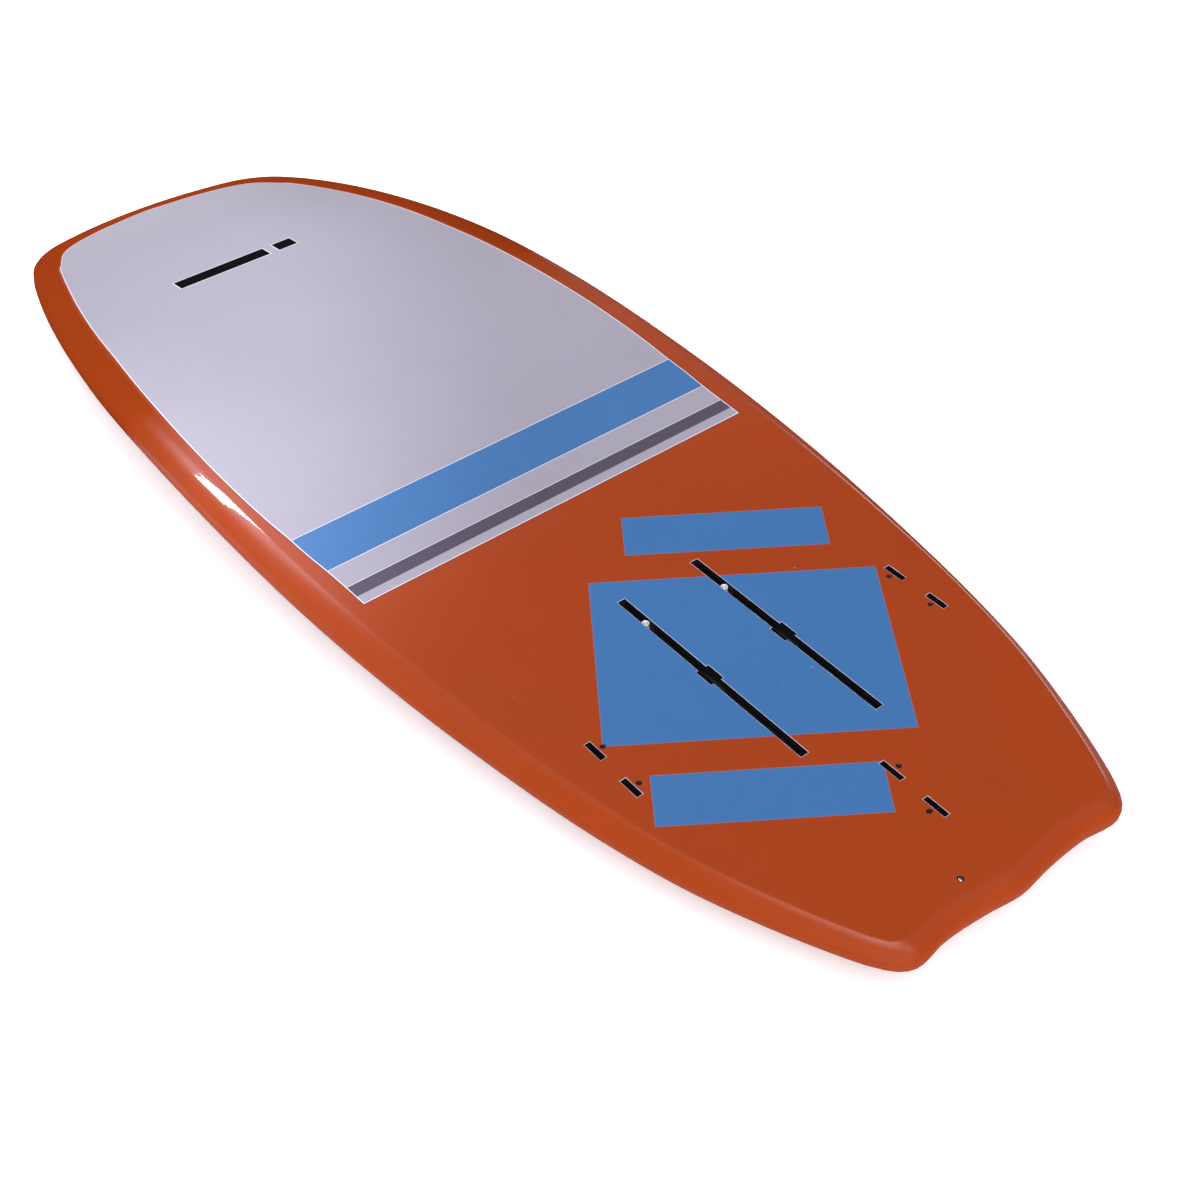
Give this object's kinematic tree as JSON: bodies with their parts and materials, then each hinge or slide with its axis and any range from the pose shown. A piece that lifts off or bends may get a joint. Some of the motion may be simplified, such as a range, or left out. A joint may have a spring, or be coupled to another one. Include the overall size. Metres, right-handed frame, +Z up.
{
  "type": "kiteboard",
  "caption": "Directional foil-ready kiteboard lying on its deck: sandwich shells over a foam core, twin foil tracks, thruster fin plugs, vent, leash plug and deck pads.",
  "frame": {"origin": "on the floor, under the middle of the board as it lies on its deck", "axes": "+Z up, out of the running surface, which leans 2.06 degrees because the board lies on its nose and the kick of its tail pad; +X towards the nose; +Y towards the starboard rail"},
  "size_m": [1.6068, 0.5672, 0.0952],
  "materials": {
    "painted_laminate": "gloss two-pack paint over glass sandwich, burnt orange with blue, lavender grey and charcoal panels",
    "foam_core": "white expanded foam",
    "dense_foam": "dense structural foam",
    "wood_stringer": "bare wood",
    "black_nylon": "moulded black",
    "black_fitting": "moulded black, fine grain",
    "t_nut_steel": "turned stainless",
    "stainless_steel": "stainless",
    "brass_insert": "turned brass",
    "seal_rubber": "matt",
    "eva_foam": "closed-cell foam, grooved"
  },
  "bodies": {
    "board": {"bottom_shell": "painted_laminate", "foil_track_starboard": "black_nylon", "foil_track_port": "black_nylon", "track_block": "dense_foam", "fin_plug_starboard_front": "black_nylon", "fin_plug_starboard_rear": "black_nylon", "fin_plug_port_front": "black_nylon", "fin_plug_port_rear": "black_nylon", "fin_plug_centre_front": "black_nylon", "fin_plug_centre_rear": "black_nylon", "vent_body": "black_fitting", "vent_o_ring": "seal_rubber", "stringer": "wood_stringer", "core_starboard": "foam_core", "core_port": "foam_core", "leash_plug_cup": "black_fitting", "leash_plug_pin": "stainless_steel", "strap_insert_front_inner_starboard": "brass_insert", "strap_insert_front_inner_port": "brass_insert", "strap_insert_front_outer_starboard": "brass_insert", "strap_insert_front_outer_port": "brass_insert", "strap_insert_rear_starboard": "brass_insert", "strap_insert_rear_port": "brass_insert", "deck_shell": "painted_laminate", "deck_pad_kick": "eva_foam", "deck_pad_rear": "eva_foam", "deck_pad_middle": "eva_foam", "deck_pad_front": "eva_foam"},
    "t_nut_starboard": {"t_nut_starboard": "t_nut_steel"},
    "t_nut_port": {"t_nut_port": "t_nut_steel"},
    "grub_screw_starboard_front": {"grub_screw_starboard_front": "stainless_steel"},
    "grub_screw_starboard_rear": {"grub_screw_starboard_rear": "stainless_steel"},
    "grub_screw_port_front": {"grub_screw_port_front": "stainless_steel"},
    "grub_screw_port_rear": {"grub_screw_port_rear": "stainless_steel"},
    "grub_screw_centre_front": {"grub_screw_centre_front": "stainless_steel"},
    "grub_screw_centre_rear": {"grub_screw_centre_rear": "stainless_steel"},
    "vent_screw": {"vent_screw": "stainless_steel"}
  },
  "joints": [
    {"name": "t_nut_starboard_slide", "type": "slide", "parent": "board", "child": "t_nut_starboard", "axis": [0.9994, 0, 0.0359], "range_m": [-0.2081, 0.0271]},
    {"name": "t_nut_port_slide", "type": "slide", "parent": "board", "child": "t_nut_port", "axis": [0.9994, 0, 0.0359], "range_m": [-0.1996, 0.0356]},
    {"name": "grub_screw_starboard_front_travel", "type": "slide", "parent": "board", "child": "grub_screw_starboard_front", "axis": [-0.0317, -0.4695, 0.8824], "range_m": [-0.002, 0.004]},
    {"name": "grub_screw_starboard_rear_travel", "type": "slide", "parent": "board", "child": "grub_screw_starboard_rear", "axis": [-0.0317, -0.4695, 0.8824], "range_m": [-0.002, 0.004]},
    {"name": "grub_screw_port_front_travel", "type": "slide", "parent": "board", "child": "grub_screw_port_front", "axis": [-0.0317, 0.4695, 0.8824], "range_m": [-0.002, 0.004]},
    {"name": "grub_screw_port_rear_travel", "type": "slide", "parent": "board", "child": "grub_screw_port_rear", "axis": [-0.0317, 0.4695, 0.8824], "range_m": [-0.002, 0.004]},
    {"name": "grub_screw_centre_front_travel", "type": "slide", "parent": "board", "child": "grub_screw_centre_front", "axis": [-0.0317, -0.4695, 0.8824], "range_m": [-0.002, 0.004]},
    {"name": "grub_screw_centre_rear_travel", "type": "slide", "parent": "board", "child": "grub_screw_centre_rear", "axis": [-0.0317, 0.4695, 0.8824], "range_m": [-0.002, 0.004]},
    {"name": "vent_screw_travel", "type": "slide", "parent": "board", "child": "vent_screw", "axis": [-0.0359, 0, 0.9994], "range_m": [0, 0.006]}
  ]
}
